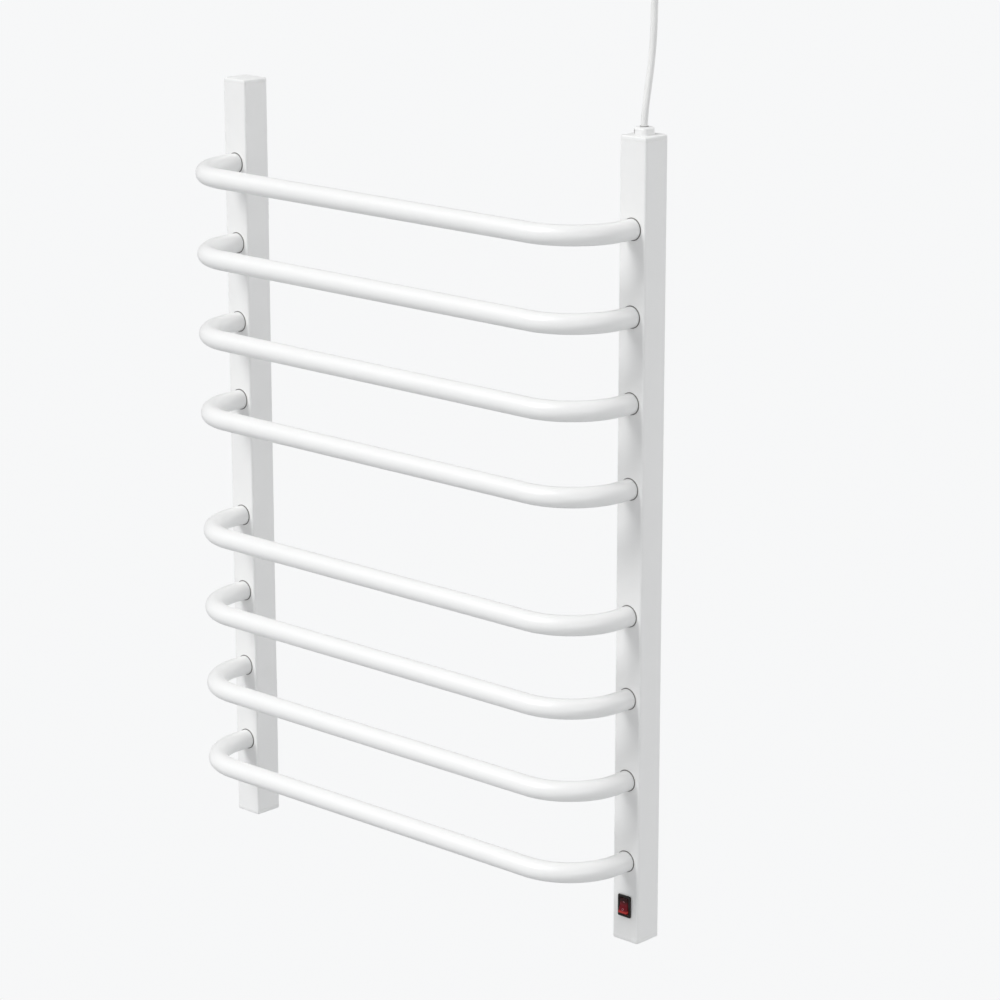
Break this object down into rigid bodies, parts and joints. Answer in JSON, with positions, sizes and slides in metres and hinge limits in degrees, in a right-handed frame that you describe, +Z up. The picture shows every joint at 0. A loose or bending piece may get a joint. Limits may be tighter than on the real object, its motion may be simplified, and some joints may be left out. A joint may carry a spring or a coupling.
{
  "type": "towel warmer rack",
  "caption": "Wall-hung electric towel warmer: square upright columns joined by bent round heated bars, with a lit rocker switch, wall brackets and a mains lead.",
  "frame": {"origin": "on the wall plane, in the middle of the four wall brackets", "axes": "+Z up, -Y out of the wall towards the room, +X to the right as seen from the room"},
  "size_m": [0.537, 0.114, 1.0193],
  "materials": {
    "white_paint": "gloss powder coat",
    "white_plastic": "satin moulded",
    "zinc_steel": "zinc plated",
    "grey_rubber": "matte",
    "red_silicone": "matte",
    "black_plastic": "semi-gloss moulded",
    "red_rocker": "translucent, lit from behind",
    "nickel": "nickel plated",
    "lamp_glass": "clear, glowing",
    "cream_block": "satin moulded",
    "brass": "satin",
    "white_cord": "satin, flexible",
    "brown_wire": "satin, flexible",
    "blue_wire": "satin, flexible",
    "green_wire": "satin, flexible"
  },
  "bodies": {
    "rack": {"column_left": "white_paint", "column_right": "white_paint", "bar_1": "white_paint", "bar_2": "white_paint", "bar_3": "white_paint", "bar_4": "white_paint", "bar_5": "white_paint", "bar_6": "white_paint", "bar_7": "white_paint", "bar_8": "white_paint", "cap_top_left": "white_plastic", "cap_top_right": "white_plastic", "cap_bottom_left": "white_plastic", "cap_bottom_right": "white_plastic", "cord_gland": "white_plastic", "cord_tie": "white_plastic", "cord_hook": "white_plastic", "plug_body": "white_plastic", "wall_bracket_upper_left": "zinc_steel", "wall_bracket_upper_right": "zinc_steel", "wall_bracket_lower_left": "zinc_steel", "wall_bracket_lower_right": "zinc_steel", "earth_screw": "zinc_steel", "bar_seal_left_1": "grey_rubber", "bar_seal_left_2": "grey_rubber", "bar_seal_left_3": "grey_rubber", "bar_seal_left_4": "grey_rubber", "bar_seal_left_5": "grey_rubber", "bar_seal_left_6": "grey_rubber", "bar_seal_left_7": "grey_rubber", "bar_seal_left_8": "grey_rubber", "bar_seal_right_1": "grey_rubber", "bar_seal_right_2": "grey_rubber", "bar_seal_right_3": "grey_rubber", "bar_seal_right_4": "grey_rubber", "bar_seal_right_5": "grey_rubber", "bar_seal_right_6": "grey_rubber", "bar_seal_right_7": "grey_rubber", "bar_seal_right_8": "grey_rubber", "heating_cable": "red_silicone", "switch_housing": "black_plastic", "switch_terminal_neutral": "nickel", "switch_terminal_live": "nickel", "switch_terminal_heater": "nickel", "plug_pin_left": "nickel", "plug_pin_right": "nickel", "switch_lamp": "lamp_glass", "terminal_block": "cream_block", "thermal_fuse": "brass", "earth_lug": "brass", "inner_lead": "white_cord", "mains_cord": "white_cord", "cord_coil": "white_cord", "wire_live": "brown_wire", "wire_heater": "brown_wire", "wire_neutral": "blue_wire", "wire_earth": "green_wire"},
    "rocker": {"switch_rocker": "red_rocker"},
    "contact": {"switch_contact": "nickel"}
  },
  "joints": [
    {"name": "rocker_tilt", "type": "hinge", "parent": "rack", "child": "rocker", "pos_m": [0.2535, -0.0332, -0.33825], "axis": [1, 0, 0], "range_deg": [0, 24]},
    {"name": "contact_tilt", "type": "hinge", "parent": "rack", "child": "contact", "pos_m": [0.2535, -0.0251, -0.33825], "axis": [1, 0, 0], "range_deg": [-16, 0]}
  ],
  "couplings": [
    {"joint": "contact_tilt", "follows": "rocker_tilt", "ratio": -0.6666}
  ]
}
